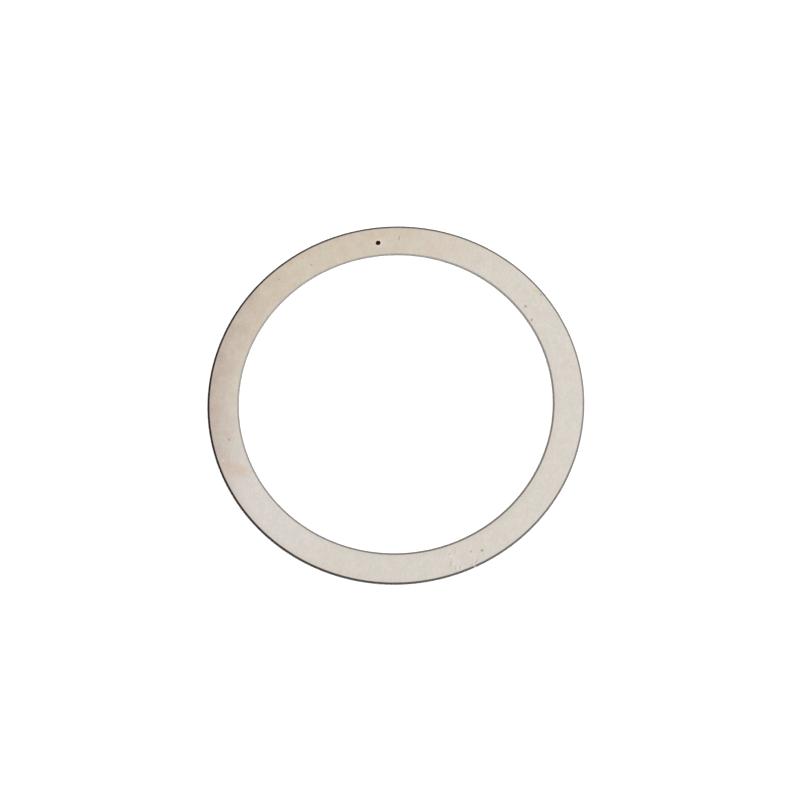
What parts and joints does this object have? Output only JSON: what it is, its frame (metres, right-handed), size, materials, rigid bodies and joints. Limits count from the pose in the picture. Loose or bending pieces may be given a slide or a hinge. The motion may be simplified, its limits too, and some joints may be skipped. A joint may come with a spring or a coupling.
{
  "type": "shim ring",
  "caption": "Thin flat steel shim ring, with a round bore, rolled upper edges and a small punched mark in one face. It takes up a gap beside a bearing or gear.",
  "frame": {"origin": "centre of the bore, in the plane of the underside that the ring lies on", "axes": "+Z along the bore's axis, out of the upper face; +Y from the centre towards the punched mark; +X completes a right-handed set"},
  "size_m": [0.12, 0.12, 0.0005],
  "materials": {
    "ring_steel": "fine satin, faintly mottled and warm where it has tarnished, with dark edges"
  },
  "bodies": {
    "root": {"shim_ring": "ring_steel"}
  },
  "joints": []
}
